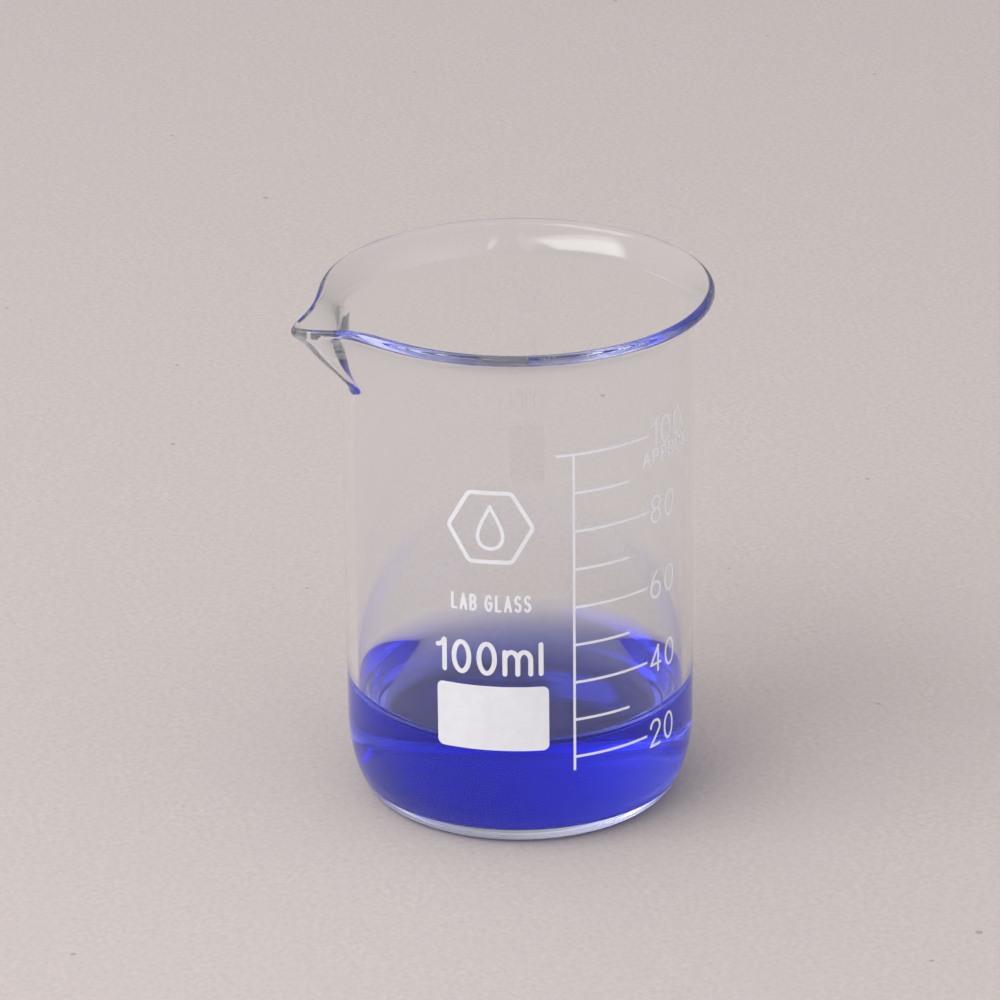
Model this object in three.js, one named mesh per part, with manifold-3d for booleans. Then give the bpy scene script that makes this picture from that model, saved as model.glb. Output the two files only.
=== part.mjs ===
// A 100 ml low-form laboratory beaker: one blown borosilicate glass body with a beaded rim and
// a pouring spout, white fired-on enamel printing, and about a quarter filling of blue solution.
// Millimetres, +Z up. The origin is the centre of the flat base. -X points along the spout and
// the printed scale faces -Y. Azimuths are measured from +X towards +Y, in degrees.

import * as THREE from 'three';
import { mergeVertices } from 'three/addons/utils/BufferGeometryUtils.js';
import Module from 'manifold-3d';

const wasm = await Module();
wasm.setup();

// ---- glass body ----

const BODY_RADIUS = 25; // outside of the straight wall
const WALL = 1.5;
const HEIGHT = 76.4; // to the top of the rim bead
const BASE_THICKNESS = 2.2;
const HEEL_REACH = 4.2; // the rounded heel is a quarter ellipse: this far in from the wall
const HEEL_RISE = 11.2; // and this far up it
const INNER_HEEL_REACH = 3.4;
const INNER_HEEL_RISE = 9.4;
const RIM_RADIUS = 27.85; // outermost edge of the bead
const BEAD_RADIUS = 0.8;
const FLARE_HEIGHT = 5; // the wall leans out over this last stretch

// ---- pouring spout ----

const SPOUT_REACH = 5.9; // how far the lip is drawn out past the round rim
const SPOUT_DROP = 1.2; // how far the tip sags below the rim
const SPOUT_HALF_WIDTH = 8.8; // degrees to each side at the lip
const SPOUT_CREASE_WIDTH = 6; // degrees to each side at the foot
const SPOUT_SHARPNESS = 1.4; // 1 is a straight-sided V and 2 is a round bulge
const SPOUT_NOSE = 2.5; // degrees that the tip is rounded over
const SPOUT_DROP_WIDTH = 12;
const SPOUT_FOOT = HEIGHT - 11.6;
const SPOUT_SHOULDER = HEIGHT - 4.2;
const SPOUT_BLEND = 0.12; // share of the rise over which foot and shoulder are eased

// ---- blue solution ----

const LIQUID_LEVEL = 14.3; // the flat middle of the surface, at the 20 ml line
const MENISCUS_RISE = 3.6; // climb up the wall
const CAPILLARY_LENGTH = 2.73; // of water
const LIQUID_GAP = 0.05; // clearance to the glass

// ---- graduations: 10 ml of the bore between neighbouring lines ----

const INNER_RADIUS = BODY_RADIUS - WALL;
const CUBIC_MM_PER_10_ML = 10000;
const TICK_SPACING = CUBIC_MM_PER_10_ML / (Math.PI * INNER_RADIUS ** 2);
const LOWEST_TICK_ML = 20;
const HIGHEST_TICK_ML = 100;
const LOWEST_TICK_HEIGHT = 14.33;

// ---- enamel: places are arc lengths to the right of the scale's upright line ----

const SPINE_AZIMUTH = -94.3;
const ENAMEL_GAP = 0.05; // clearance to the glass
const ENAMEL_THICKNESS = 0.12;
const LINE_PEN = 0.38; // width of the upright line and the ticks
const SPINE_TAIL = 2.1; // the upright line runs this far below the lowest tick
const LONG_TICK = 12.3;
const SHORT_TICK = 8.85;
const TOP_TICK_OVERHANG = 2.5;
const MARK_CENTRE = -11.75; // the badge, the lettering and the panel share this centre line

const NUMERALS = { left: 12.9, height: 4.3, pen: 0.4, gap: 0.8, condense: 1 };
const APPROX = { left: 11.3, foot: 55.9, height: 2.25, pen: 0.34, gap: 0.42, condense: 1.05 };
const CAPTION = { left: -17.5, foot: 37.2, height: 2.6, pen: 0.38, gap: 0.28, condense: 0.66 };
const CAPACITY = { left: -20, foot: 27.4, height: 5.2, pen: 0.7, gap: 0.75, condense: 1 };
const PANEL = { width: 16.1, height: 9.9, foot: 15.85, corner: 0.9 };
const MARK = { height: 50, radius: 6.3, pen: 0.6, corner: 0.9, sides: 6 };
const DROP = { height: 6.4, width: 5, pen: 0.5, points: 20, taper: 1.5 };
const WORD_SPACE = 3; // letter gaps in a space

// ---- fineness ----

const FACETS = 72; // round the glass and the liquid
const SPOUT_CROWDING = 0.6; // 0 spaces those facets evenly, towards 1 packs them at the spout
const ENAMEL_FACETS = 72;
const LETTER_STEP = 30; // degrees between the points of a round stroke
const CAP_STEP = 60; // degrees between the points of a stroke's round end
const HEEL_STEP = 12.9;
const BEAD_STEP = 30;
const FLARE_SHARES = [0, 0.35, 0.7]; // rows between the straight wall and the bead
const SPOUT_SHARES = [0, 0.33, 0.67]; // rows between the spout's foot and the flare
const MENISCUS_SHARES = [1, 0.72, 0.45, 0.2, 0.05]; // rows down the meniscus, of its rise
const CUTTER_DEPTH = 6;
const MERGE_DISTANCE = 1e-5;

const DEGREE = Math.PI / 180;

// ---- shared helpers ----

const point = (x, y) => new THREE.Vector2(x, y);

// Points along part of an ellipse, from one angle to another in degrees.
function arc(centreX, centreY, radiusX, radiusY, from, to, step = LETTER_STEP) {
  const count = Math.ceil(Math.abs(to - from) / step);
  return Array.from({ length: count + 1 }, (_, index) => {
    const angle = (from + ((to - from) * index) / count) * DEGREE;
    return point(centreX + radiusX * Math.cos(angle), centreY + radiusY * Math.sin(angle));
  });
}

// Joins each geometry's coincident corners and returns it as a solid that can be cut.
function solidOf(geometry) {
  geometry.deleteAttribute('normal');
  geometry.deleteAttribute('uv');
  const merged = mergeVertices(geometry, MERGE_DISTANCE);
  const corners = Array.from(merged.index.array);
  const kept = [];
  for (let first = 0; first < corners.length; first += 3) {
    const [a, b, c] = corners.slice(first, first + 3);
    if (a !== b && b !== c && c !== a) kept.push(a, b, c);
  }
  return new wasm.Manifold(new wasm.Mesh({
    numProp: 3,
    vertProperties: Float32Array.from(merged.attributes.position.array),
    triVerts: Uint32Array.from(kept),
  }));
}

function geometryOf(solid) {
  const mesh = solid.getMesh();
  const geometry = new THREE.BufferGeometry();
  geometry.setAttribute('position', new THREE.BufferAttribute(mesh.vertProperties, 3));
  geometry.setIndex(new THREE.BufferAttribute(mesh.triVerts, 1));
  geometry.computeVertexNormals();
  return geometry;
}

// A profile of (radius, height) points turned about +Z. The facets crowd together towards the
// spout, so that its narrow lip stays smooth, and every turned piece shares the same facets.
function turned(profile) {
  const geometry = new THREE.LatheGeometry(profile, FACETS);
  geometry.rotateX(Math.PI / 2);
  const position = geometry.attributes.position;
  for (let index = 0; index < position.count; index += 1) {
    const radius = Math.hypot(position.getX(index), position.getY(index));
    const even = Math.atan2(position.getX(index), -position.getY(index));
    const crowded = Math.PI + even - SPOUT_CROWDING * Math.sin(even);
    position.setXY(index, radius * Math.cos(crowded), radius * Math.sin(crowded));
  }
  return geometry;
}

// ---- the spout's shape ----

// 0 below the spout's foot, rising steadily to 1 at its shoulder, with both ends eased.
function spoutLift(height) {
  const rise = (height - SPOUT_FOOT) / (SPOUT_SHOULDER - SPOUT_FOOT);
  const eased = (value) => (value + Math.hypot(value, SPOUT_BLEND)) / 2;
  return eased(rise) - eased(rise - 1);
}

// 1 on the spout's centre line, falling away to each side. angle and width are in degrees.
function spoutPlan(angle, width) {
  const fall = (angle ** 2 + SPOUT_NOSE ** 2) ** (SPOUT_SHARPNESS / 2);
  return Math.exp(-(fall - SPOUT_NOSE ** SPOUT_SHARPNESS) / width ** SPOUT_SHARPNESS);
}

// Draws the wall out into the spout and lets the lip sag a little there.
function pullSpout(geometry) {
  const position = geometry.attributes.position;
  for (let index = 0; index < position.count; index += 1) {
    const x = position.getX(index);
    const y = position.getY(index);
    const height = position.getZ(index);
    const radius = Math.hypot(x, y);
    const angle = Math.atan2(-y, -x) / DEGREE;
    const lift = radius > INNER_RADIUS / 2 ? spoutLift(height) : 0;
    const width = SPOUT_CREASE_WIDTH + (SPOUT_HALF_WIDTH - SPOUT_CREASE_WIDTH) * lift;
    const scale = 1 + (SPOUT_REACH * spoutPlan(angle, width) * lift) / radius;
    const sag = SPOUT_DROP * Math.exp(-((angle / SPOUT_DROP_WIDTH) ** 2)) * lift;
    if (lift > 0) position.setXYZ(index, x * scale, y * scale, height - sag);
  }
  return geometry;
}

// ---- glass body ----

// The middle of the flared wall at share 0 (straight wall) to 1 (bead centre), and its normal.
function flare(share) {
  const start = point(BODY_RADIUS - WALL / 2, HEIGHT - FLARE_HEIGHT);
  const run = RIM_RADIUS - BEAD_RADIUS - start.x;
  const rise = FLARE_HEIGHT - BEAD_RADIUS;
  const middle = point(start.x + run * share ** 2, start.y + rise * share);
  const outward = point(rise, -2 * run * share).normalize();
  return { middle, outward, half: WALL / 2 + (BEAD_RADIUS - WALL / 2) * share };
}

function glassProfile() {
  const spoutRows = SPOUT_SHARES.map(
    (share) => SPOUT_FOOT + (HEIGHT - FLARE_HEIGHT - SPOUT_FOOT) * share,
  );
  const side = (sign) => FLARE_SHARES.map((share) => {
    const { middle, outward, half } = flare(share);
    return middle.clone().addScaledVector(outward, sign * half);
  });
  const end = flare(1);
  const tilt = Math.atan2(end.outward.y, end.outward.x) / DEGREE;
  return [
    point(0, 0),
    ...arc(BODY_RADIUS - HEEL_REACH, HEEL_RISE, HEEL_REACH, HEEL_RISE, -90, 0, HEEL_STEP),
    ...spoutRows.map((height) => point(BODY_RADIUS, height)),
    ...side(1),
    ...arc(end.middle.x, end.middle.y, BEAD_RADIUS, BEAD_RADIUS, tilt, tilt + 180, BEAD_STEP),
    ...side(-1).reverse(),
    ...spoutRows.reverse().map((height) => point(INNER_RADIUS, height)),
    ...innerHeel(0).reverse(),
    point(0, BASE_THICKNESS),
  ];
}

// The rounded inside corner of the bore, or the same corner shrunk by a gap, from the floor up.
function innerHeel(gap) {
  return arc(
    INNER_RADIUS - INNER_HEEL_REACH,
    BASE_THICKNESS + INNER_HEEL_RISE,
    INNER_HEEL_REACH - gap,
    INNER_HEEL_RISE - gap,
    -90,
    0,
    HEEL_STEP,
  );
}

function glassBody() {
  return geometryOf(solidOf(pullSpout(turned(glassProfile()))));
}

// ---- blue solution ----

// How far from the wall the meniscus has fallen to a given rise above the flat level. This is
// the shape of a liquid that wets an upright wall, for surface tension against gravity.
function meniscusDistance(rise) {
  const run = (height) => {
    const steepness = height / CAPILLARY_LENGTH;
    return Math.acosh(2 / steepness) - Math.sqrt(4 - steepness ** 2);
  };
  return CAPILLARY_LENGTH * (run(rise) - run(MENISCUS_RISE));
}

// Fills the bore from the floor up, and climbs the glass as a meniscus.
function liquid() {
  const climb = MENISCUS_SHARES.map((share) => {
    const rise = share * MENISCUS_RISE;
    return point(INNER_RADIUS - LIQUID_GAP - meniscusDistance(rise), LIQUID_LEVEL + rise);
  });
  return geometryOf(solidOf(turned([
    point(0, BASE_THICKNESS + LIQUID_GAP),
    ...innerHeel(LIQUID_GAP),
    ...climb,
    point(0, LIQUID_LEVEL),
  ])));
}

// ---- enamel printing ----

// The thin skin round the glass that every printed patch is cut from.
function enamelSkin() {
  const inner = BODY_RADIUS + ENAMEL_GAP;
  const outer = inner + ENAMEL_THICKNESS;
  const foot = LOWEST_TICK_HEIGHT - 2 * SPINE_TAIL;
  const top = SPOUT_FOOT;
  const profile = [[inner, foot], [outer, foot], [outer, top], [inner, top], [inner, foot]];
  const lathe = new THREE.LatheGeometry(profile.map(([x, y]) => point(x, y)), ENAMEL_FACETS);
  return solidOf(lathe.rotateX(Math.PI / 2));
}

const skin = enamelSkin();

const azimuthOf = (along) => SPINE_AZIMUTH * DEGREE + along / BODY_RADIUS;

// A wedge through the skin between two arc lengths and two heights.
function wedge(left, right, low, high) {
  const near = BODY_RADIUS - CUTTER_DEPTH;
  const far = BODY_RADIUS + CUTTER_DEPTH;
  const corners = [[near, left], [far, left], [far, right], [near, right]];
  const shape = new THREE.Shape(corners.map(([radius, along]) => (
    point(radius * Math.cos(azimuthOf(along)), radius * Math.sin(azimuthOf(along)))
  )));
  const geometry = new THREE.ExtrudeGeometry(shape, { depth: high - low, bevelEnabled: false });
  return solidOf(geometry.translate(0, 0, low));
}

// A flat outline, drawn to the right and up, pushed through the skin at an arc length.
function punch(shape, along, height) {
  const depth = CUTTER_DEPTH;
  const geometry = new THREE.ExtrudeGeometry(shape, { depth, bevelEnabled: false });
  const azimuth = azimuthOf(along);
  const outward = new THREE.Vector3(Math.cos(azimuth), Math.sin(azimuth), 0);
  const right = new THREE.Vector3(-Math.sin(azimuth), Math.cos(azimuth), 0);
  const place = new THREE.Matrix4().makeBasis(right, new THREE.Vector3(0, 0, 1), outward);
  place.setPosition(outward.multiplyScalar(BODY_RADIUS - depth / 2).setZ(height));
  return solidOf(geometry.applyMatrix4(place));
}

const joined = (solids) => solids.reduce((whole, solid) => whole.add(solid));

const printed = (cutters) => geometryOf(skin.intersect(joined(cutters)));

// A pen stroke along a row of points: parallel sides, and half-round ends if it is open. A closed
// row runs anticlockwise.
function strokeShape(points, pen) {
  const last = points.length - 1;
  const closed = points[0].distanceTo(points[last]) < pen / 10;
  const normals = points.map((_, index) => {
    const before = index > 0 ? index - 1 : closed ? last - 1 : 0;
    const after = index < last ? index + 1 : closed ? 1 : last;
    const along = points[after].clone().sub(points[before]).normalize();
    return point(-along.y, along.x);
  });
  const side = (sign) => points.map((p, index) => (
    p.clone().addScaledVector(normals[index], (sign * pen) / 2)
  ));
  if (closed) {
    const shape = new THREE.Shape(side(-1).slice(0, last));
    shape.holes.push(new THREE.Path(side(1).slice(0, last)));
    return shape;
  }
  const cap = (index, turn) => {
    const start = Math.atan2(normals[index].y, normals[index].x) / DEGREE + turn;
    return arc(points[index].x, points[index].y, pen / 2, pen / 2, start, start - 180, CAP_STEP);
  };
  return new THREE.Shape([
    ...side(1).slice(1, last),
    ...cap(last, 0),
    ...side(-1).slice(1, last).reverse(),
    ...cap(0, 180),
  ]);
}

// Single-line letter forms in a box one unit wide and one unit high. width is for height 1.
const rounded = (x, y, radiusX, radiusY) => arc(x, y, radiusX, radiusY, 0, 360);
const line = (...pairs) => pairs.map(([x, y]) => point(x, y));

const FORMS = {
  0: { width: 0.56, strokes: [rounded(0.5, 0.5, 0.5, 0.5)] },
  1: { width: 0.33, strokes: [line([0, 0.8], [0.6, 0.85], [1, 1]), line([1, 1], [1, 0])] },
  2: {
    width: 0.56,
    strokes: [
      [...arc(0.5, 0.73, 0.5, 0.27, 180, -30), point(0, 0)],
      line([0, 0], [1, 0]),
    ],
  },
  4: {
    width: 0.6,
    strokes: [line([0.72, 0], [0.72, 1]), line([0.72, 1], [0, 0.3]), line([0, 0.3], [1, 0.3])],
  },
  6: {
    width: 0.56,
    strokes: [
      rounded(0.5, 0.3, 0.5, 0.3),
      arc(1.1, 0.3, 1.1, 0.76, 180, 113),
    ],
  },
  8: { width: 0.56, strokes: [rounded(0.5, 0.76, 0.43, 0.24), rounded(0.5, 0.26, 0.5, 0.26)] },
  A: { width: 0.68, strokes: [line([0, 0], [0.5, 1]), line([0.5, 1], [1, 0]),
    line([0.18, 0.34], [0.82, 0.34])] },
  B: {
    width: 0.62,
    strokes: [
      line([0, 0], [0, 1]),
      [point(0, 1), ...arc(0.55, 0.76, 0.38, 0.24, 90, -90), point(0, 0.52)],
      [point(0, 0.52), ...arc(0.55, 0.26, 0.45, 0.26, 90, -90), point(0, 0)],
    ],
  },
  G: {
    width: 0.68,
    strokes: [arc(0.5, 0.5, 0.5, 0.5, 45, 360), line([1, 0.5], [0.6, 0.5])],
  },
  L: { width: 0.56, strokes: [line([0, 1], [0, 0]), line([0, 0], [1, 0])] },
  O: { width: 0.72, strokes: [rounded(0.5, 0.5, 0.5, 0.5)] },
  P: {
    width: 0.6,
    strokes: [
      line([0, 0], [0, 1]),
      [point(0, 1), ...arc(0.55, 0.74, 0.45, 0.26, 90, -90), point(0, 0.48)],
    ],
  },
  R: {
    width: 0.64,
    strokes: [
      line([0, 0], [0, 1]),
      [point(0, 1), ...arc(0.55, 0.74, 0.45, 0.26, 90, -90), point(0, 0.48)],
      line([0.5, 0.48], [1, 0]),
    ],
  },
  S: {
    width: 0.62,
    strokes: [[...arc(0.5, 0.75, 0.46, 0.25, 30, 270), ...arc(0.5, 0.25, 0.5, 0.25, 60, -150)]],
  },
  X: { width: 0.66, strokes: [line([0, 0], [1, 1]), line([0, 1], [1, 0])] },
  l: { width: 0, strokes: [line([0, 0], [0, 1])] },
  m: {
    width: 0.83,
    strokes: [
      line([0, 0], [0, 0.75]),
      [...arc(0.25, 0.46, 0.25, 0.29, 180, 0), point(0.5, 0)],
      [...arc(0.75, 0.46, 0.25, 0.29, 180, 0), point(1, 0)],
    ],
  },
};

const widthOf = (letter, style) => (
  Math.max(FORMS[letter].width * style.height * style.condense, style.pen)
);

// One letter or numeral, with its left edge and foot at the given place.
function character(letter, style, left, foot) {
  const width = widthOf(letter, style);
  const middle = left + width / 2;
  const fit = ({ x, y }) => point(
    (x - 0.5) * (width - style.pen),
    style.pen / 2 + y * (style.height - style.pen),
  );
  return printed(FORMS[letter].strokes.map((stroke) => (
    punch(strokeShape(stroke.map(fit), style.pen), middle, foot)
  )));
}

// The upright line with every tick growing out of it.
function scaleLines() {
  const cutters = [];
  for (let ml = LOWEST_TICK_ML; ml <= HIGHEST_TICK_ML; ml += 10) {
    const height = tickHeight(ml);
    const reach = ml % 20 === 0 ? LONG_TICK : SHORT_TICK;
    const start = ml === HIGHEST_TICK_ML ? -TOP_TICK_OVERHANG : 0;
    cutters.push(wedge(start, reach, height - LINE_PEN / 2, height + LINE_PEN / 2));
  }
  const foot = LOWEST_TICK_HEIGHT - SPINE_TAIL;
  cutters.push(wedge(-LINE_PEN / 2, LINE_PEN / 2, foot, tickHeight(HIGHEST_TICK_ML)));
  return printed(cutters);
}

function tickHeight(ml) {
  return LOWEST_TICK_HEIGHT + ((ml - LOWEST_TICK_ML) / 10) * TICK_SPACING;
}

// The plain rectangle for pencil notes, with rounded corners.
function labelPanel() {
  const { width, height, foot, corner } = PANEL;
  const left = MARK_CENTRE - width / 2;
  const right = MARK_CENTRE + width / 2;
  const top = foot + height;
  const disc = new THREE.Shape(arc(0, 0, corner, corner, 0, 360 - LETTER_STEP));
  const corners = [left + corner, right - corner].flatMap((along) => (
    [foot + corner, top - corner].map((level) => punch(disc, along, level))
  ));
  return printed([
    wedge(left + corner, right - corner, foot, top),
    wedge(left, right, foot + corner, top - corner),
    ...corners,
  ]);
}

// A neutral badge: a hexagon outline with softened corners.
function markOutline() {
  const { height, radius, pen, corner, sides } = MARK;
  const half = 180 / sides;
  const inset = radius - pen / 2 - corner / Math.cos(half * DEGREE);
  const points = Array.from({ length: sides }, (_, side) => side * 2 * half).flatMap((turn) => {
    const x = inset * Math.cos(turn * DEGREE);
    const y = inset * Math.sin(turn * DEGREE);
    return arc(x, y, corner, corner, turn - half, turn + half);
  });
  points.push(points[0].clone());
  return printed([punch(strokeShape(points, pen), MARK_CENTRE, height)]);
}

// A droplet outline inside the badge.
function markDrop() {
  const { height, width, pen } = DROP;
  const points = Array.from({ length: DROP.points + 1 }, (_, index) => {
    const turn = (2 * Math.PI * index) / DROP.points;
    const belly = Math.abs(Math.sin(turn / 2)) ** DROP.taper;
    return point(-(width / 2) * belly * Math.sin(turn), (height / 2) * Math.cos(turn));
  });
  return printed([punch(strokeShape(points, pen), MARK_CENTRE, MARK.height)]);
}

// ---- materials and assembly ----

const glass = () => new THREE.MeshStandardMaterial({
  color: 0xe8f0f2, roughness: 0.03, metalness: 0, transparent: true, opacity: 0.3,
});
const solution = () => new THREE.MeshStandardMaterial({
  color: 0x3a34c8, roughness: 0.05, metalness: 0, transparent: true, opacity: 0.75,
});
const enamel = () => new THREE.MeshStandardMaterial({
  color: 0xf1f1f4, roughness: 0.45, metalness: 0,
});

const beaker = new THREE.Group();

function place(name, geometry, material) {
  const mesh = new THREE.Mesh(geometry, material);
  mesh.name = name;
  beaker.add(mesh);
}

// A word is one mesh for each letter, numbered from the left. Spaces only move the pen on.
function placeWord(name, text, style, foot = style.foot) {
  let left = style.left;
  let count = 0;
  for (const letter of text) {
    if (letter === ' ') {
      left += WORD_SPACE * style.gap;
    } else {
      count += 1;
      place(`${name}_${count}`, character(letter, style, left, foot), enamel());
      left += widthOf(letter, style) + style.gap;
    }
  }
}

place('glass_body', glassBody(), glass());
place('liquid', liquid(), solution());
place('scale_lines', scaleLines(), enamel());
for (let ml = LOWEST_TICK_ML; ml <= HIGHEST_TICK_ML; ml += 20) {
  placeWord(`numeral_${ml}`, `${ml}`, NUMERALS, tickHeight(ml) - NUMERALS.height / 2);
}
placeWord('approx', 'APPROX', APPROX);
placeWord('caption', 'LAB GLASS', CAPTION);
placeWord('capacity', '100ml', CAPACITY);
place('label_panel', labelPanel(), enamel());
place('mark_outline', markOutline(), enamel());
place('mark_drop', markDrop(), enamel());

export default beaker;
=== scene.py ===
import math

import bpy
import numpy as np
from mathutils import Matrix, Vector, noise
from mathutils.geometry import delaunay_2d_cdt


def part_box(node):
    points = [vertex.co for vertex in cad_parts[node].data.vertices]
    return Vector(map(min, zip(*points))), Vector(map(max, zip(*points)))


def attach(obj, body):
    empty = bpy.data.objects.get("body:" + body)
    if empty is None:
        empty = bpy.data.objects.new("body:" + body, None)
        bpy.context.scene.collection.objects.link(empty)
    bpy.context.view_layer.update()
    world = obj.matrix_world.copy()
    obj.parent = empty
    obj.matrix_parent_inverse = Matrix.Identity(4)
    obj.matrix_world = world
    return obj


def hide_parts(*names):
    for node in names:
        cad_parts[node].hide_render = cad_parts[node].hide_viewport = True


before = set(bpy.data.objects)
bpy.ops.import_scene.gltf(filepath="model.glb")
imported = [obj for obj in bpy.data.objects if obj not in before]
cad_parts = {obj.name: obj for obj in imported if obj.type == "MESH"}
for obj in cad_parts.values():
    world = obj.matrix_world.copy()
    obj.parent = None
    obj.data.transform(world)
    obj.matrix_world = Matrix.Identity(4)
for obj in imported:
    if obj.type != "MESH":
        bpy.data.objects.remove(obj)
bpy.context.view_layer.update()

MM = 0.001
DEGREE = math.pi / 180

# ---- the beaker's own sizes, in millimetres unless a comment says otherwise ----

# The spout points towards -X, and the print faces -Y.
glass_low, glass_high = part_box("glass_body")
HEIGHT = glass_high.z / MM
RIM_RADIUS = glass_high.y / MM
SPOUT_TIP = -glass_low.x / MM

BODY_RADIUS = 25
WALL = 1.5
INNER_RADIUS = BODY_RADIUS - WALL
BASE_THICKNESS = 2.2
HEEL_REACH = 4.2
HEEL_RISE = 11.2
INNER_HEEL_REACH = 3.4
INNER_HEEL_RISE = 9.4
BEAD_RADIUS = 0.8
FLARE_HEIGHT = 5

SPOUT_DROP = 1.2
SPOUT_FOOT = HEIGHT - 11.6
SPOUT_SHOULDER = HEIGHT - 4.2
# Degrees to each side of the spout's middle: at the lip, at the foot, round the nose, and of sag.
SPOUT_HALF_WIDTH = 8.8
SPOUT_CREASE_WIDTH = 6
SPOUT_NOSE = 2.5
SPOUT_DROP_WIDTH = 12
# A sharpness of 1 is a straight-sided V and 2 a round bulge. The blend is a share of the rise.
SPOUT_SHARPNESS = 1.4
SPOUT_BLEND = 0.12

LIQUID_LEVEL = 14.3
MENISCUS_RISE = 3.6
CAPILLARY_LENGTH = 2.73
LIQUID_OVERLAP = 0.02

# Fineness of the mesh: columns round the axis, crowded by this share towards the spout, and rows
# along each stretch of the profiles.
COLUMNS = 320
SPOUT_CROWDING = 0.6
DISC_STEPS = 12
HEEL_STEPS = 24
WALL_STEPS = 7
SPOUT_STEPS = 21
SPOUT_MARGIN = 4  # millimetres of fine rows below the spout's foot
FLARE_STEPS = 12
BEAD_STEPS = 16
LIQUID_WALL_STEPS = 6
MENISCUS_STEPS = 30
MENISCUS_EDGE = 0.07  # the curve ends this low, as the root of a share of its rise
SURFACE_STEPS = 6
SHARP_ANGLE = 60  # degrees

# ---- the print's sizes, in millimetres measured round the wall and up ----

TICK_SPACING = 10000 / (math.pi * INNER_RADIUS**2)
LOWEST_TICK_ML = 20
HIGHEST_TICK_ML = 100
LOWEST_TICK_HEIGHT = 14.33
SPINE_AZIMUTH = -94.3  # degrees from +X towards +Y
LINE_PEN = 0.38
SPINE_TAIL = 2.1
LONG_TICK = 12.3
SHORT_TICK = 8.85
TOP_TICK_OVERHANG = 2.5
MARK_CENTRE = -11.75
NUMERALS = {"left": 12.9, "height": 4.3, "pen": 0.4, "gap": 0.8, "condense": 1}
APPROX = {
    "left": 11.3, "foot": 55.9, "height": 2.25, "pen": 0.34, "gap": 0.42, "condense": 1.05,
}
CAPTION = {
    "left": -17.5, "foot": 37.2, "height": 2.6, "pen": 0.38, "gap": 0.28, "condense": 0.66,
}
CAPACITY = {"left": -20, "foot": 27.4, "height": 5.2, "pen": 0.7, "gap": 0.75, "condense": 1}
PANEL = {"width": 16.1, "height": 9.9, "foot": 15.85, "corner": 0.9}
MARK = {"height": 50, "radius": 6.3, "pen": 0.6, "corner": 0.9, "sides": 6}
DROP = {"height": 6.4, "width": 5, "pen": 0.5, "points": 60, "taper": 1.5}
WORD_SPACE = 3  # letter gaps in a space

ENAMEL_SINK = 0.015
ENAMEL_PROUD = 0.02
EDGE_WAVER = 0.022
EDGE_WAVER_RATE = 2.2
EDGE_WAVER_SEED = 7

LETTER_STEP = 8  # degrees between the points of a letter's curve
CAP_STEP = 20  # degrees between the points of a stroke's round end
CORNER_STEPS = 8
BEND_STEP = 0.7  # widest flat strip round the wall
CUT_MARGIN = 0.1
JOIN_DISTANCE = 1e-5
LEAST_TURN = 1e-7


# ---- camera: millimetres and degrees, turned about the beaker's axis ----

CAMERA_DISTANCE = 714.248
CAMERA_HEIGHT = 349.841
CAMERA_TURN = -22
CAMERA_YAW = -0.21436
CAMERA_PITCH = 23.20965
CAMERA_ROLL = -0.57980
CAMERA_LENS = 195.880
SENSOR_WIDTH = 36


def add_camera():
    yaw, pitch, roll = (angle * DEGREE for angle in (CAMERA_YAW, CAMERA_PITCH, CAMERA_ROLL))
    ahead = Vector((
        math.sin(yaw) * math.cos(pitch), math.cos(yaw) * math.cos(pitch), -math.sin(pitch),
    ))
    level_right = ahead.cross(Vector((0, 0, 1))).normalized()
    level_up = level_right.cross(ahead)
    right = level_right * math.cos(roll) + level_up * math.sin(roll)
    up = level_up * math.cos(roll) - level_right * math.sin(roll)
    turn = Matrix.Rotation(CAMERA_TURN * DEGREE, 4, "Z")
    axes = Matrix((right, up, -ahead)).transposed().to_4x4()
    place = Matrix.Translation(Vector((0, -CAMERA_DISTANCE, CAMERA_HEIGHT)) * MM)
    data = bpy.data.cameras.new("camera")
    data.sensor_width = SENSOR_WIDTH
    data.lens = CAMERA_LENS
    camera = bpy.data.objects.new("camera", data)
    camera.matrix_world = turn @ place @ axes
    bpy.context.scene.collection.objects.link(camera)
    bpy.context.scene.camera = camera


# ---- profiles: lists of (radius, height) in millimetres ----

def arc(x, y, reach_x, reach_y, start, end, steps):
    turns = np.linspace(start, end, steps + 1) * DEGREE
    return [(x + reach_x * math.cos(turn), y + reach_y * math.sin(turn)) for turn in turns]


def flare(share):
    """The flare's middle line, its outward direction and half its thickness, this far along."""
    start_x, start_y = BODY_RADIUS - WALL / 2, HEIGHT - FLARE_HEIGHT
    run = RIM_RADIUS - BEAD_RADIUS - start_x
    rise = FLARE_HEIGHT - BEAD_RADIUS
    middle = np.array((start_x + run * share**2, start_y + rise * share))
    outward = np.array((rise, -2 * run * share))
    return middle, outward / np.hypot(*outward), WALL / 2 + (BEAD_RADIUS - WALL / 2) * share


def inner_heel(grow):
    """The inside of the heel, or the same curve grown into the glass."""
    return arc(
        INNER_RADIUS - INNER_HEEL_REACH, BASE_THICKNESS + INNER_HEEL_RISE,
        INNER_HEEL_REACH + grow, INNER_HEEL_RISE + grow, -90, 0, HEEL_STEPS,
    )


def disc_rows(radius, height, count, outward=True):
    """Rings across a flat disc, without its centre and its edge."""
    shares = np.linspace(0, 1, count + 1)[1:-1]
    rows = [(radius * share, height) for share in shares]
    return rows if outward else rows[::-1]


def flare_side(sign):
    """One face of the flare, from its foot up to the bead. 1 is the outer face and -1 the inner."""
    side = []
    for share in np.linspace(0, 1, FLARE_STEPS + 1)[:-1]:
        middle, outward, half = flare(share)
        side.append(tuple(middle + sign * half * outward))
    return side


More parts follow.
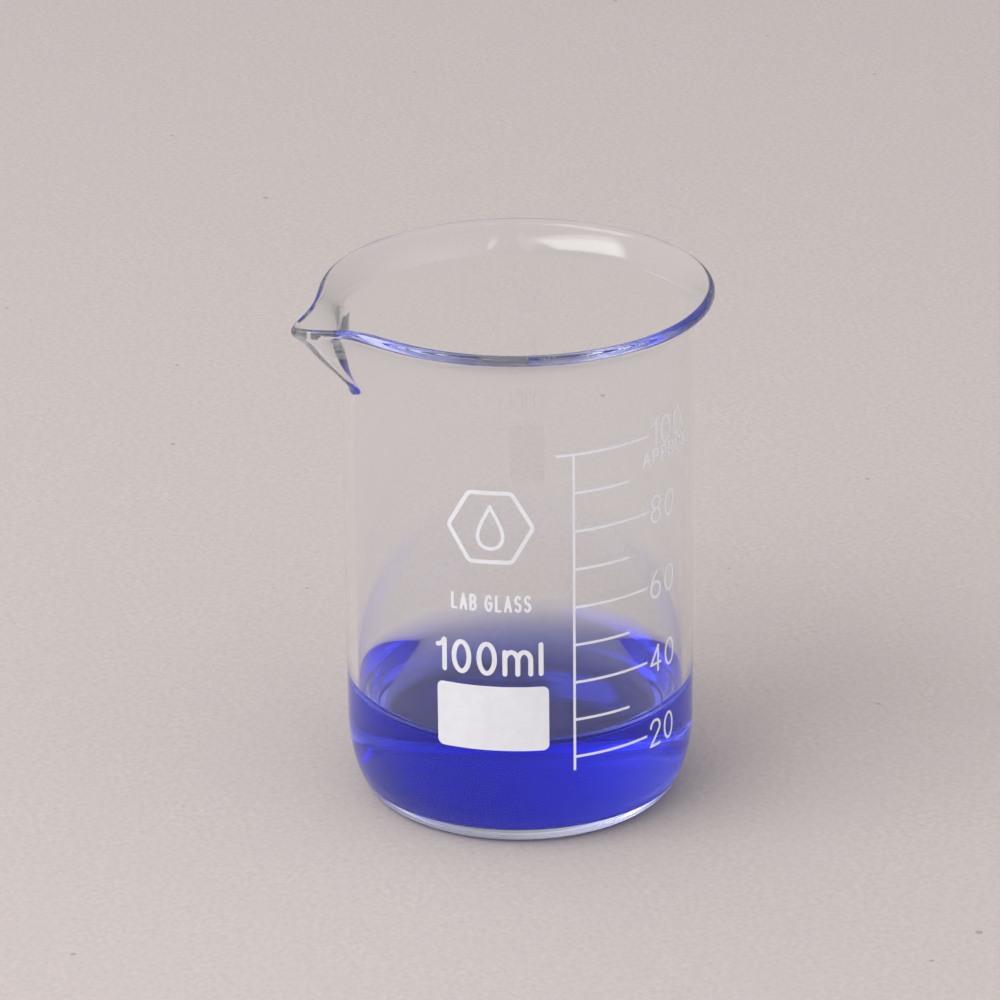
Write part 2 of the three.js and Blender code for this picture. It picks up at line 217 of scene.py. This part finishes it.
def glass_profile():
    """Under the base, up the outside, over the bead and down the inside."""
    heel_foot = BODY_RADIUS - HEEL_REACH
    inner_foot = INNER_RADIUS - INNER_HEEL_REACH
    inner_top = BASE_THICKNESS + INNER_HEEL_RISE
    flare_foot = HEIGHT - FLARE_HEIGHT
    spout_start = SPOUT_FOOT - SPOUT_MARGIN
    wall_rows = np.linspace(HEEL_RISE, spout_start, WALL_STEPS + 1)[1:]
    inner_rows = np.linspace(inner_top, spout_start, WALL_STEPS + 1)[1:]
    spout_rows = np.linspace(spout_start, flare_foot, SPOUT_STEPS + 1)[1:-1]
    end, end_outward, _ = flare(1)
    tilt = math.atan2(end_outward[1], end_outward[0]) / DEGREE
    return [
        *disc_rows(heel_foot, 0, DISC_STEPS),
        *arc(heel_foot, HEEL_RISE, HEEL_REACH, HEEL_RISE, -90, 0, HEEL_STEPS),
        *[(BODY_RADIUS, z) for z in wall_rows],
        *[(BODY_RADIUS, z) for z in spout_rows],
        *flare_side(1),
        *arc(end[0], end[1], BEAD_RADIUS, BEAD_RADIUS, tilt, tilt + 180, BEAD_STEPS),
        *flare_side(-1)[::-1],
        *[(INNER_RADIUS, z) for z in spout_rows[::-1]],
        *[(INNER_RADIUS, z) for z in inner_rows[::-1]],
        *inner_heel(0)[::-1],
        *disc_rows(inner_foot, BASE_THICKNESS, DISC_STEPS, outward=False),
    ]


def meniscus_distance(rise):
    """How far in from the wall the liquid still stands this much above its level."""
    def run(height):
        steepness = height / CAPILLARY_LENGTH
        return math.acosh(2 / steepness) - math.sqrt(4 - steepness**2)
    return CAPILLARY_LENGTH * (run(rise) - run(MENISCUS_RISE))


def liquid_profile():
    """Under the liquid, up the wall, down the meniscus and in along the surface."""
    climb = []
    for share in np.linspace(1, MENISCUS_EDGE, MENISCUS_STEPS) ** 2:
        rise = share * MENISCUS_RISE
        climb.append((INNER_RADIUS - meniscus_distance(rise), LIQUID_LEVEL + rise))
    wall = INNER_RADIUS + LIQUID_OVERLAP
    foot = INNER_RADIUS - INNER_HEEL_REACH
    heel_top = BASE_THICKNESS + INNER_HEEL_RISE
    wall_rows = np.linspace(heel_top, LIQUID_LEVEL + MENISCUS_RISE, LIQUID_WALL_STEPS + 1)[1:]
    return [
        *disc_rows(foot, BASE_THICKNESS - LIQUID_OVERLAP, DISC_STEPS),
        *inner_heel(LIQUID_OVERLAP),
        *[(wall, z) for z in wall_rows],
        *climb,
        *disc_rows(climb[-1][0], climb[-1][1], SURFACE_STEPS, outward=False),
    ]


# ---- turning and pouring lip ----

def spout_lift(height):
    """0 below the spout's foot and 1 above its shoulder, eased at both."""
    def eased(value):
        return (value + np.hypot(value, SPOUT_BLEND)) / 2
    rise = (height - SPOUT_FOOT) / (SPOUT_SHOULDER - SPOUT_FOOT)
    return eased(rise) - eased(rise - 1)


def spout_plan(angle, width):
    """The share of the spout's reach that the wall has this many degrees from its middle."""
    fall = (angle**2 + SPOUT_NOSE**2) ** (SPOUT_SHARPNESS / 2)
    return np.exp(-(fall - SPOUT_NOSE**SPOUT_SHARPNESS) / width**SPOUT_SHARPNESS)


def turned(profile):
    """A profile turned about the axis, with its columns crowded towards the spout."""
    even = np.arange(COLUMNS) * 2 * math.pi / COLUMNS
    azimuth = math.pi + even - SPOUT_CROWDING * np.sin(even)
    rows = np.array(profile)
    x = rows[:, :1] * np.cos(azimuth)
    y = rows[:, :1] * np.sin(azimuth)
    z = np.repeat(rows[:, 1:], COLUMNS, axis=1)
    return np.stack((x, y, z), axis=-1)


def pull_spout(grid):
    """Draws the wall out into the pouring lip and lets its tip sag. The axis stays where it is."""
    x, y, z = grid[..., 0], grid[..., 1], grid[..., 2]
    radius = np.hypot(x, y)
    angle = np.arctan2(-y, -x) / DEGREE
    lift = np.where(radius > INNER_RADIUS / 2, spout_lift(z), 0)
    width = SPOUT_CREASE_WIDTH + (SPOUT_HALF_WIDTH - SPOUT_CREASE_WIDTH) * lift
    reach = (SPOUT_TIP - RIM_RADIUS) / spout_lift(HEIGHT - BEAD_RADIUS)
    scale = 1 + reach * spout_plan(angle, width) * lift / np.maximum(radius, 1)
    sag = SPOUT_DROP * np.exp(-((angle / SPOUT_DROP_WIDTH) ** 2)) * lift
    return np.stack((x * scale, y * scale, z - sag), axis=-1)


def closed_mesh(name, grid, bottom, top, material):
    """A grid of rows between two centre points, as one closed mesh."""
    rows, columns = grid.shape[:2]
    points = np.vstack((grid.reshape(-1, 3), [(0, 0, bottom)], [(0, 0, top)])) * MM
    faces = []
    for row in range(rows - 1):
        for column in range(columns):
            after = (column + 1) % columns
            faces.append((
                row * columns + column, row * columns + after,
                (row + 1) * columns + after, (row + 1) * columns + column,
            ))
    first, last = rows * columns, rows * columns + 1
    for column in range(columns):
        after = (column + 1) % columns
        faces.append((first, after, column))
        faces.append((last, (rows - 1) * columns + column, (rows - 1) * columns + after))
    return new_piece(name, points.tolist(), faces, material)


def new_piece(name, points, faces, material):
    mesh = bpy.data.meshes.new(name)
    mesh.from_pydata(points, [], faces)
    mesh.polygons.foreach_set("use_smooth", [True] * len(mesh.polygons))
    mesh.set_sharp_from_angle(angle=SHARP_ANGLE * DEGREE)
    mesh.materials.append(material)
    mesh.update()
    piece = bpy.data.objects.new(name, mesh)
    bpy.context.scene.collection.objects.link(piece)
    return piece


# ---- printed enamel ----
# Flat outlines in millimetres, measured round the wall to the right of the upright line, and up.

def turn_points(x, y, reach_x, reach_y, start, end, step=LETTER_STEP):
    return arc(x, y, reach_x, reach_y, start, end, max(1, round(abs(end - start) / step)))


# Each letter's width over its height, and its pen strokes in a box of size 1.
FORMS = {
    "0": (0.56, [turn_points(0.5, 0.5, 0.5, 0.5, 0, 360)]),
    "1": (0.33, [[(0, 0.8), (0.6, 0.85), (1, 1)], [(1, 1), (1, 0)]]),
    "2": (0.56, [[*turn_points(0.5, 0.73, 0.5, 0.27, 180, -30), (0, 0)], [(0, 0), (1, 0)]]),
    "4": (0.6, [[(0.72, 0), (0.72, 1)], [(0.72, 1), (0, 0.3)], [(0, 0.3), (1, 0.3)]]),
    "6": (0.56, [
        turn_points(0.5, 0.3, 0.5, 0.3, 0, 360), turn_points(1.1, 0.3, 1.1, 0.76, 180, 113),
    ]),
    "8": (0.56, [
        turn_points(0.5, 0.76, 0.43, 0.24, 0, 360), turn_points(0.5, 0.26, 0.5, 0.26, 0, 360),
    ]),
    "A": (0.68, [[(0, 0), (0.5, 1)], [(0.5, 1), (1, 0)], [(0.18, 0.34), (0.82, 0.34)]]),
    "B": (0.62, [
        [(0, 0), (0, 1)],
        [(0, 1), *turn_points(0.55, 0.76, 0.38, 0.24, 90, -90), (0, 0.52)],
        [(0, 0.52), *turn_points(0.55, 0.26, 0.45, 0.26, 90, -90), (0, 0)],
    ]),
    "G": (0.68, [turn_points(0.5, 0.5, 0.5, 0.5, 45, 360), [(1, 0.5), (0.6, 0.5)]]),
    "L": (0.56, [[(0, 1), (0, 0)], [(0, 0), (1, 0)]]),
    "O": (0.72, [turn_points(0.5, 0.5, 0.5, 0.5, 0, 360)]),
    "P": (0.6, [
        [(0, 0), (0, 1)],
        [(0, 1), *turn_points(0.55, 0.74, 0.45, 0.26, 90, -90), (0, 0.48)],
    ]),
    "R": (0.64, [
        [(0, 0), (0, 1)],
        [(0, 1), *turn_points(0.55, 0.74, 0.45, 0.26, 90, -90), (0, 0.48)],
        [(0.5, 0.48), (1, 0)],
    ]),
    "S": (0.62, [[
        *turn_points(0.5, 0.75, 0.46, 0.25, 30, 270), *turn_points(0.5, 0.25, 0.5, 0.25, 60, -150),
    ]]),
    "X": (0.66, [[(0, 0), (1, 1)], [(0, 1), (1, 0)]]),
    "l": (0, [[(0, 0), (0, 1)]]),
    "m": (0.83, [
        [(0, 0), (0, 0.75)],
        [*turn_points(0.25, 0.46, 0.25, 0.29, 180, 0), (0.5, 0)],
        [*turn_points(0.75, 0.46, 0.25, 0.29, 180, 0), (1, 0)],
    ]),
}


def disc_patch(centre, pen):
    return arc(*centre, pen / 2, pen / 2, 0, 360 - CAP_STEP, 360 // CAP_STEP - 1)


def is_convex(patch):
    """Whether a four-sided patch turns left at every corner."""
    sides = np.roll(patch, -1, axis=0) - patch
    turns = np.roll(sides, -1, axis=0)
    return bool(np.all(sides[:, 0] * turns[:, 1] - sides[:, 1] * turns[:, 0] > LEAST_TURN))


def stroke_patches(points, pen):
    """A round-ended pen stroke along a row of points, as a list of small flat polygons."""
    row = np.array(points, float)
    closed = np.hypot(*(row[0] - row[-1])) < pen / 10
    if closed:
        row = row[:-1]
    after = np.roll(row, -1, axis=0)
    before = np.roll(row, 1, axis=0)
    if not closed:
        after[-1], before[0] = row[-1], row[0]
    along = after - before
    along /= np.hypot(along[:, 0], along[:, 1])[:, None]
    normal = np.stack((-along[:, 1], along[:, 0]), axis=1) * pen / 2
    left, right = row + normal, row - normal
    count = len(row)
    patches = []
    for index in range(count if closed else count - 1):
        follow = (index + 1) % count
        patch = np.array((left[index], right[index], right[follow], left[follow]))
        if is_convex(patch):
            patches.append(patch)
            continue
        # A tight bend would fold the patch, so it is a straight bar there with a disc at each end.
        step = row[follow] - row[index]
        across = np.array((-step[1], step[0])) / np.hypot(*step) * pen / 2
        patches.append([
            row[index] + across, row[index] - across,
            row[follow] - across, row[follow] + across,
        ])
        patches += [disc_patch(row[index], pen), disc_patch(row[follow], pen)]
    if not closed:
        for index, turn in ((0, 0), (count - 1, 180)):
            start = math.atan2(normal[index][1], normal[index][0]) / DEGREE + turn
            patches.append(arc(*row[index], pen / 2, pen / 2, start, start + 180, 180 // CAP_STEP))
    return patches


def width_of(letter, style):
    return max(FORMS[letter][0] * style["height"] * style["condense"], style["pen"])


def letter_patches(letter, style, left, foot):
    pen = style["pen"]
    width, height = width_of(letter, style) - pen, style["height"] - pen
    patches = []
    for stroke in FORMS[letter][1]:
        placed = [(left + pen / 2 + x * width, foot + pen / 2 + y * height) for x, y in stroke]
        patches += stroke_patches(placed, pen)
    return patches


def rectangle(left, right, low, high):
    return [(left, low), (right, low), (right, high), (left, high)]


def tick_height(ml):
    return LOWEST_TICK_HEIGHT + (ml - LOWEST_TICK_ML) / 10 * TICK_SPACING


def scale_patches():
    half, foot = LINE_PEN / 2, LOWEST_TICK_HEIGHT - SPINE_TAIL
    patches = [rectangle(-half, half, foot, tick_height(HIGHEST_TICK_ML))]
    for ml in range(LOWEST_TICK_ML, HIGHEST_TICK_ML + 1, 10):
        reach = LONG_TICK if ml % 20 == 0 else SHORT_TICK
        start = -TOP_TICK_OVERHANG if ml == HIGHEST_TICK_ML else 0
        patches.append(rectangle(start, reach, tick_height(ml) - half, tick_height(ml) + half))
    return patches


def panel_patches():
    corner, low = PANEL["corner"], PANEL["foot"]
    left, right = MARK_CENTRE - PANEL["width"] / 2, MARK_CENTRE + PANEL["width"] / 2
    high = low + PANEL["height"]
    outline = []
    for x, y, start in (
        (right - corner, high - corner, 0), (left + corner, high - corner, 90),
        (left + corner, low + corner, 180), (right - corner, low + corner, 270),
    ):
        outline += arc(x, y, corner, corner, start, start + 90, CORNER_STEPS)
    return [outline]


def outline_patches():
    half = 180 / MARK["sides"]
    inset = MARK["radius"] - MARK["pen"] / 2 - MARK["corner"] / math.cos(half * DEGREE)
    points = []
    for side in range(MARK["sides"]):
        turn = side * 2 * half
        x = MARK_CENTRE + inset * math.cos(turn * DEGREE)
        y = MARK["height"] + inset * math.sin(turn * DEGREE)
        points += arc(x, y, MARK["corner"], MARK["corner"], turn - half, turn + half, CORNER_STEPS)
    return stroke_patches(points + points[:1], MARK["pen"])


def drop_patches():
    points = []
    for turn in np.linspace(0, 2 * math.pi, DROP["points"] + 1):
        belly = abs(math.sin(turn / 2)) ** DROP["taper"]
        points.append((
            MARK_CENTRE - DROP["width"] / 2 * belly * math.sin(turn),
            MARK["height"] + DROP["height"] / 2 * math.cos(turn),
        ))
    return stroke_patches(points, DROP["pen"])


def covered(flat, triangles, patches):
    """The triangles with their middle in a patch. Patches are convex and anticlockwise."""
    middles = flat[triangles].mean(axis=1)
    inside = np.zeros(len(middles), bool)
    for patch in patches:
        start = np.array(patch, float)
        step = np.roll(start, -1, axis=0) - start
        away = middles[:, None, :] - start[None]
        inside |= np.all(step[:, 0] * away[..., 1] - step[:, 1] * away[..., 0] > 0, axis=1)
    return triangles[inside].tolist()


def joined(patches):
    """Merges flat patches, in strips narrow enough for the wall's bend: points and triangles."""
    corners = [Vector(point) for patch in patches for point in patch]
    edges, first = [], 0
    for patch in patches:
        edges += [(first + side, first + (side + 1) % len(patch)) for side in range(len(patch))]
        first += len(patch)
    low_x, high_x = min(c.x for c in corners), max(c.x for c in corners)
    low_y, high_y = min(c.y for c in corners), max(c.y for c in corners)
    cuts = max(1, math.ceil((high_x - low_x) / BEND_STEP))
    for cut in range(1, cuts):
        x = low_x + (high_x - low_x) * cut / cuts
        edges.append((len(corners), len(corners) + 1))
        corners += [Vector((x, low_y - CUT_MARGIN)), Vector((x, high_y + CUT_MARGIN))]
    flat, _, triangles, _, _, _ = delaunay_2d_cdt(corners, edges, [], 0, JOIN_DISTANCE)
    kept = covered(np.array(flat), np.array(triangles), patches)
    used = sorted({corner for tri in kept for corner in tri})
    order = {corner: index for index, corner in enumerate(used)}
    return [flat[corner] for corner in used], [[order[corner] for corner in tri] for tri in kept]


def on_wall(x, y, radius):
    """A flat point wrapped round the wall, in metres, with the faint waver of a printed edge."""
    waver = noise.noise_vector((x * EDGE_WAVER_RATE, y * EDGE_WAVER_RATE, 0)) * EDGE_WAVER
    turn = SPINE_AZIMUTH * DEGREE + (x + waver.x) / BODY_RADIUS
    return radius * math.cos(turn) * MM, radius * math.sin(turn) * MM, (y + waver.y) * MM


def enamel_piece(node, patches, material):
    """A thin closed layer of print, a little sunk into the glass."""
    flat, fronts = joined(patches)
    count = len(flat)
    layers = (BODY_RADIUS + ENAMEL_PROUD, BODY_RADIUS - ENAMEL_SINK)
    points = [on_wall(x, y, radius) for radius in layers for x, y in flat]
    backs = [[corner + count for corner in reversed(tri)] for tri in fronts]
    sides = dict.fromkeys(side for tri in fronts for side in zip(tri, tri[1:] + tri[:1]))
    edges = [(start, end) for start, end in sides if (end, start) not in sides]
    rims = [[end, start, start + count, end + count] for start, end in edges]
    return new_piece("enamel_" + node, points, fronts + backs + rims, material)


def word_patches(name, text, style, foot):
    """Each letter of a word as a piece of its own, numbered from the left."""
    left, count, words = style["left"], 0, {}
    for letter in text:
        if letter == " ":
            left += WORD_SPACE * style["gap"]
        else:
            count += 1
            words[f"{name}_{count}"] = letter_patches(letter, style, left, foot)
            left += width_of(letter, style) + style["gap"]
    return words


def all_enamel():
    prints = {
        "scale_lines": scale_patches(), "label_panel": panel_patches(),
        "mark_outline": outline_patches(), "mark_drop": drop_patches(),
    }
    for ml in range(LOWEST_TICK_ML, HIGHEST_TICK_ML + 1, 20):
        foot = tick_height(ml) - NUMERALS["height"] / 2
        prints.update(word_patches(f"numeral_{ml}", str(ml), NUMERALS, foot))
    prints.update(word_patches("approx", "APPROX", APPROX, APPROX["foot"]))
    prints.update(word_patches("caption", "LAB GLASS", CAPTION, CAPTION["foot"]))
    prints.update(word_patches("capacity", "100ml", CAPACITY, CAPACITY["foot"]))
    return prints


# ---- materials: noise scales in features per metre, depths in metres, density per metre ----

GLASS_COLOUR = (0.98, 0.992, 0.988, 1)
GLASS_IOR = 1.474
GLASS_WAVES = 90
GLASS_WAVE_DEPTH = 0.00002

WATER_CLEAR = (1, 1, 1, 1)
WATER_CLOUDED = (0.95, 0.96, 1, 1)
WATER_IOR = 1.333
WATER_TINT = 0.2
SWIRLS = 70
DYE_COLOUR = (0.0, 0.1, 0.975, 1)
DYE_DENSITY = 95

# The blue lean of these enamel colours is painted light: it stands in for the blue liquid's glow
# shining through the thin print. The white, the uneven tone and the pinholes are the enamel's own.
ENAMEL_PALE_WITH_PAINTED_BLUE = (0.93, 0.945, 0.99, 1)
ENAMEL_GREYER_WITH_PAINTED_BLUE = (0.86, 0.875, 0.93, 1)
ENAMEL_PIT_WITH_PAINTED_BLUE = (0.7, 0.71, 0.78, 1)
ENAMEL_ROUGHNESS = (0.35, 0.6)
ENAMEL_CLOUDS = 500
ENAMEL_PINHOLES = 3500
ENAMEL_GRAIN_DEPTH = 0.00001

PAPER_DARK = (0.555, 0.494, 0.481, 1)
PAPER_LIGHT = (0.687, 0.616, 0.6, 1)
PAPER_CLOUD = (0.608, 0.545, 0.535, 1)
PAPER_SPECK = (0.3, 0.25, 0.25, 1)
PAPER_ROUGHNESS = 0.9
PAPER_SPECULAR = 0.2
PAPER_FIBRES = 1100
PAPER_FIBRE_DEPTH = 0.00004
PAPER_CLOUDS = 90
PAPER_SPECKS = 420


def new_material(name):
    material = bpy.data.materials.new(name)
    material.use_nodes = True
    tree = material.node_tree
    return material, tree, tree.nodes["Principled BSDF"]


def add_noise(tree, scale, detail, seed=0):
    """Cloudy noise in object space, from 0 to 1."""
    place = tree.nodes.new("ShaderNodeTexCoord")
    noise_node = tree.nodes.new("ShaderNodeTexNoise")
    noise_node.noise_dimensions = "4D"
    noise_node.inputs["W"].default_value = seed
    noise_node.inputs["Scale"].default_value = scale
    noise_node.inputs["Detail"].default_value = detail
    tree.links.new(place.outputs["Object"], noise_node.inputs["Vector"])
    return noise_node.outputs["Fac"]


def add_range(tree, value, source, target=(0, 1), curve="LINEAR"):
    """Carries a value from one range to another, and stops at both ends."""
    node = tree.nodes.new("ShaderNodeMapRange")
    node.interpolation_type = curve
    for socket, limit in zip(("From Min", "From Max", "To Min", "To Max"), (*source, *target)):
        node.inputs[socket].default_value = limit
    tree.links.new(value, node.inputs["Value"])
    return node.outputs["Result"]


def add_mix(tree, share, first, second):
    """Mixes two colours, each of them fixed or linked."""
    node = tree.nodes.new("ShaderNodeMix")
    node.data_type = "RGBA"
    tree.links.new(share, node.inputs["Factor"])
    sockets = [socket for socket in node.inputs if socket.type == "RGBA"]
    for socket, colour in zip(sockets, (first, second)):
        if isinstance(colour, tuple):
            socket.default_value = colour
        else:
            tree.links.new(colour, socket)
    return [socket for socket in node.outputs if socket.type == "RGBA"][0]


def add_bump(tree, shader, height, depth):
    """Dents the surface by at most this depth."""
    bump = tree.nodes.new("ShaderNodeBump")
    bump.inputs["Strength"].default_value = 1
    bump.inputs["Distance"].default_value = depth
    tree.links.new(height, bump.inputs["Height"])
    tree.links.new(bump.outputs["Normal"], shader.inputs["Normal"])


def add_maths(tree, operation, *values):
    """A maths node fed with numbers and linked outputs."""
    node = tree.nodes.new("ShaderNodeMath")
    node.operation = operation
    for socket, value in zip(node.inputs, values):
        if isinstance(value, (int, float)):
            socket.default_value = value
        else:
            tree.links.new(value, socket)
    return node.outputs[0]


def glass_material(name, tint):
    """Clear glass with the faint waviness of a blown wall. With a tint of 0 it mirrors nothing."""
    material, tree, shader = new_material(name)
    shader.inputs["Specular Tint"].default_value = (tint, tint, tint, 1)
    shader.inputs["Base Color"].default_value = GLASS_COLOUR
    shader.inputs["Roughness"].default_value = 0
    shader.inputs["IOR"].default_value = GLASS_IOR
    shader.inputs["Transmission Weight"].default_value = 1
    add_bump(tree, shader, add_noise(tree, GLASS_WAVES, 1), GLASS_WAVE_DEPTH)
    return material


def solution_material():
    """Blue by absorption in its depth, with a little unevenness where it wets the glass."""
    material, tree, shader = new_material("blue_solution")
    swirl = add_range(tree, add_noise(tree, SWIRLS, 2), (0.35, 0.65))
    colour = add_mix(tree, swirl, WATER_CLEAR, WATER_CLOUDED)
    tree.links.new(colour, shader.inputs["Base Color"])
    shader.inputs["Roughness"].default_value = 0
    shader.inputs["IOR"].default_value = WATER_IOR
    shader.inputs["Transmission Weight"].default_value = 1
    shader.inputs["Specular Tint"].default_value = (WATER_TINT, WATER_TINT, WATER_TINT, 1)
    volume = tree.nodes.new("ShaderNodeVolumeAbsorption")
    volume.inputs["Color"].default_value = DYE_COLOUR
    volume.inputs["Density"].default_value = DYE_DENSITY
    tree.links.new(volume.outputs["Volume"], tree.nodes["Material Output"].inputs["Volume"])
    return material


def enamel_material():
    """Fired white enamel: slightly uneven in tone and gloss, with pinholes. The colours also carry
    a painted blue cast that stands in for the blue liquid's light shining through the thin print.
    """
    material, tree, shader = new_material("fired_enamel")
    tone = add_range(tree, add_noise(tree, ENAMEL_CLOUDS, 3), (0.3, 0.7))
    clouded = add_mix(tree, tone, ENAMEL_PALE_WITH_PAINTED_BLUE, ENAMEL_GREYER_WITH_PAINTED_BLUE)
    pinholes = add_range(tree, add_noise(tree, ENAMEL_PINHOLES, 1, seed=3), (0.7, 0.78))
    colour = add_mix(tree, pinholes, clouded, ENAMEL_PIT_WITH_PAINTED_BLUE)
    tree.links.new(colour, shader.inputs["Base Color"])
    gloss = add_noise(tree, ENAMEL_CLOUDS, 2, seed=7)
    roughness = add_range(tree, gloss, (0.3, 0.7), ENAMEL_ROUGHNESS)
    tree.links.new(roughness, shader.inputs["Roughness"])
    add_bump(tree, shader, add_noise(tree, ENAMEL_PINHOLES, 2, seed=5), ENAMEL_GRAIN_DEPTH)
    return material


def paper_material():
    """Matt paper: fine fibres, faint clouds and a few darker specks."""
    material, tree, shader = new_material("paper_floor")
    fibres = add_range(tree, add_noise(tree, PAPER_FIBRES, 3), (0.25, 0.75))
    fine = add_mix(tree, fibres, PAPER_DARK, PAPER_LIGHT)
    clouds = add_range(tree, add_noise(tree, PAPER_CLOUDS, 2, seed=2), (0.3, 0.7), (0, 0.5))
    clouded = add_mix(tree, clouds, fine, PAPER_CLOUD)
    specks = add_range(tree, add_noise(tree, PAPER_SPECKS, 0, seed=9), (0.83, 0.86), (0, 0.6))
    colour = add_mix(tree, specks, clouded, PAPER_SPECK)
    tree.links.new(colour, shader.inputs["Base Color"])
    shader.inputs["Roughness"].default_value = PAPER_ROUGHNESS
    shader.inputs["Specular IOR Level"].default_value = PAPER_SPECULAR
    add_bump(tree, shader, add_noise(tree, PAPER_FIBRES, 2, seed=4), PAPER_FIBRE_DEPTH)
    return material


# ---- stage: metres, degrees and watts. Azimuth 0 is behind the camera, positive to its right ----

FLOOR_HALF = 2.5
FLOOR_HEIGHT = -0.0001
LIGHT_AIM = Vector((0, 0, 0.04))

# Soft light from all round the room, as broad lobes. A higher gather makes a narrower lobe.
ROOM_LOBES = {
    "overhead": {"azimuth": 0, "elevation": 90, "gather": 3, "strength": 0.24},
    "left": {"azimuth": -95, "elevation": 25, "gather": 3, "strength": 0.44},
    "rear_left": {"azimuth": -150, "elevation": 40, "gather": 3, "strength": 0.46},
    "right": {"azimuth": 55, "elevation": 18, "gather": 3, "strength": 1.0},
    "around_key": {"azimuth": -55, "elevation": 45, "gather": 5, "strength": 0.2},
}
ROOM_EVEN = 0.05
ROOM_COLOUR = (1, 0.99, 1.0, 1)

SOFT_BOXES = {
    "key": {
        "azimuth": -54, "elevation": 45, "distance": 1.15,
        "width": 1.2, "height": 0.84, "power": 10.4, "feather": 0.35,
    },
    "strip": {
        "azimuth": -8, "elevation": 40, "distance": 1.6,
        "width": 0.32, "height": 1.9, "power": 1.1, "feather": 0.5,
    },
    "slit": {
        "azimuth": 19, "elevation": 42, "distance": 1.6,
        "width": 0.13, "height": 1.1, "power": 0.6, "feather": 0.3,
    },
}


def towards(azimuth, elevation):
    """A unit vector from the beaker."""
    turn = (CAMERA_TURN - 90 + azimuth) * DEGREE
    rise = elevation * DEGREE
    return Vector((
        math.cos(turn) * math.cos(rise), math.sin(turn) * math.cos(rise), math.sin(rise),
    ))


def add_floor():
    corners = rectangle(-FLOOR_HALF, FLOOR_HALF, -FLOOR_HALF, FLOOR_HALF)
    mesh = bpy.data.meshes.new("floor")
    mesh.from_pydata([(x, y, FLOOR_HEIGHT) for x, y in corners], [], [(0, 1, 2, 3)])
    mesh.materials.append(paper_material())
    floor = bpy.data.objects.new("floor", mesh)
    bpy.context.scene.collection.objects.link(floor)


def feather_light(data, feather):
    """Fades a soft box out towards its edges, over this share of each half."""
    data.use_nodes = True
    tree = data.node_tree
    across = tree.nodes.new("ShaderNodeNewGeometry")
    split = tree.nodes.new("ShaderNodeSeparateXYZ")
    tree.links.new(across.outputs["Parametric"], split.inputs["Vector"])
    fades = []
    for axis in "XY":
        centred = add_maths(tree, "SUBTRACT", split.outputs[axis], 0.5)
        distance = add_maths(tree, "ABSOLUTE", centred)
        edge = (0.5 * (1 - feather), 0.5)
        fades.append(add_range(tree, distance, edge, (1, 0), "SMOOTHSTEP"))
    tree.links.new(add_maths(tree, "MULTIPLY", *fades), tree.nodes["Emission"].inputs["Strength"])


def add_light(name, box):
    """A soft box aimed at the beaker."""
    place = towards(box["azimuth"], box["elevation"]) * box["distance"]
    data = bpy.data.lights.new(name, "AREA")
    data.shape = "RECTANGLE"
    data.size = box["width"]
    data.size_y = box["height"]
    data.energy = box["power"]
    feather_light(data, box["feather"])
    light = bpy.data.objects.new(name, data)
    light.location = place + LIGHT_AIM
    light.rotation_euler = (-place).to_track_quat("-Z", "Y").to_euler()
    bpy.context.scene.collection.objects.link(light)


def add_world():
    world = bpy.data.worlds.new("studio")
    world.use_nodes = True
    bpy.context.scene.world = world
    tree = world.node_tree
    direction = tree.nodes.new("ShaderNodeTexCoord").outputs["Generated"]
    total = ROOM_EVEN
    for lobe in ROOM_LOBES.values():
        near = tree.nodes.new("ShaderNodeVectorMath")
        near.operation = "DOT_PRODUCT"
        near.inputs[1].default_value = towards(lobe["azimuth"], lobe["elevation"])
        tree.links.new(direction, near.inputs[0])
        away = add_maths(tree, "SUBTRACT", near.outputs["Value"], 1)
        exponent = add_maths(tree, "MULTIPLY", away, lobe["gather"])
        falloff = add_maths(tree, "POWER", math.e, exponent)
        glow = add_maths(tree, "MULTIPLY", falloff, lobe["strength"])
        total = add_maths(tree, "ADD", glow, total)
    background = tree.nodes["Background"]
    background.inputs["Color"].default_value = ROOM_COLOUR
    tree.links.new(total, background.inputs["Strength"])


# ---- putting it together ----

WETTED_MARGIN = 0.01  # millimetres
DRY_TINT = 1
WETTED_TINT = 0
# The wall guides light up to the rim, which stays black with few bounces.
LIGHT_BOUNCES = 160
DIFFUSE_BOUNCES = 6


def wet_inner_wall(glass):
    """Gives the faces that the liquid touches a slot of their own. Glass hardly mirrors there."""
    glass.data.materials.append(glass_material("borosilicate_glass_wetted", WETTED_TINT))
    for face in glass.data.polygons:
        middle = face.center / MM
        radius = math.hypot(middle.x, middle.y)
        inner = radius < INNER_RADIUS + WETTED_MARGIN and middle.z > BASE_THICKNESS - WETTED_MARGIN
        below = middle.z < LIQUID_LEVEL + MENISCUS_RISE
        outward = Vector((middle.x, middle.y, -INNER_HEEL_RISE))
        if inner and below and face.normal.dot(outward) < 0:
            face.material_index = 1


def place_piece(piece, node):
    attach(piece, "root")
    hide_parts(node)


add_camera()
add_floor()
add_world()
for name, box in SOFT_BOXES.items():
    add_light(name, box)

dry_glass = glass_material("borosilicate_glass", DRY_TINT)
glass_grid = pull_spout(turned(glass_profile()))
glass = closed_mesh("beaker_glass", glass_grid, 0, BASE_THICKNESS, dry_glass)
wet_inner_wall(glass)
place_piece(glass, "glass_body")

liquid_rows = liquid_profile()
liquid_foot, liquid_top = BASE_THICKNESS - LIQUID_OVERLAP, liquid_rows[-1][1]
solution = solution_material()
liquid = closed_mesh("blue_liquid", turned(liquid_rows), liquid_foot, liquid_top, solution)
place_piece(liquid, "liquid")

noise.seed_set(EDGE_WAVER_SEED)
enamel = enamel_material()
for node, patches in all_enamel().items():
    place_piece(enamel_piece(node, patches, enamel), node)

scene = bpy.context.scene
scene.cycles.max_bounces = LIGHT_BOUNCES
scene.cycles.transmission_bounces = LIGHT_BOUNCES
scene.cycles.glossy_bounces = LIGHT_BOUNCES
scene.cycles.diffuse_bounces = DIFFUSE_BOUNCES
scene.view_settings.view_transform = "Standard"
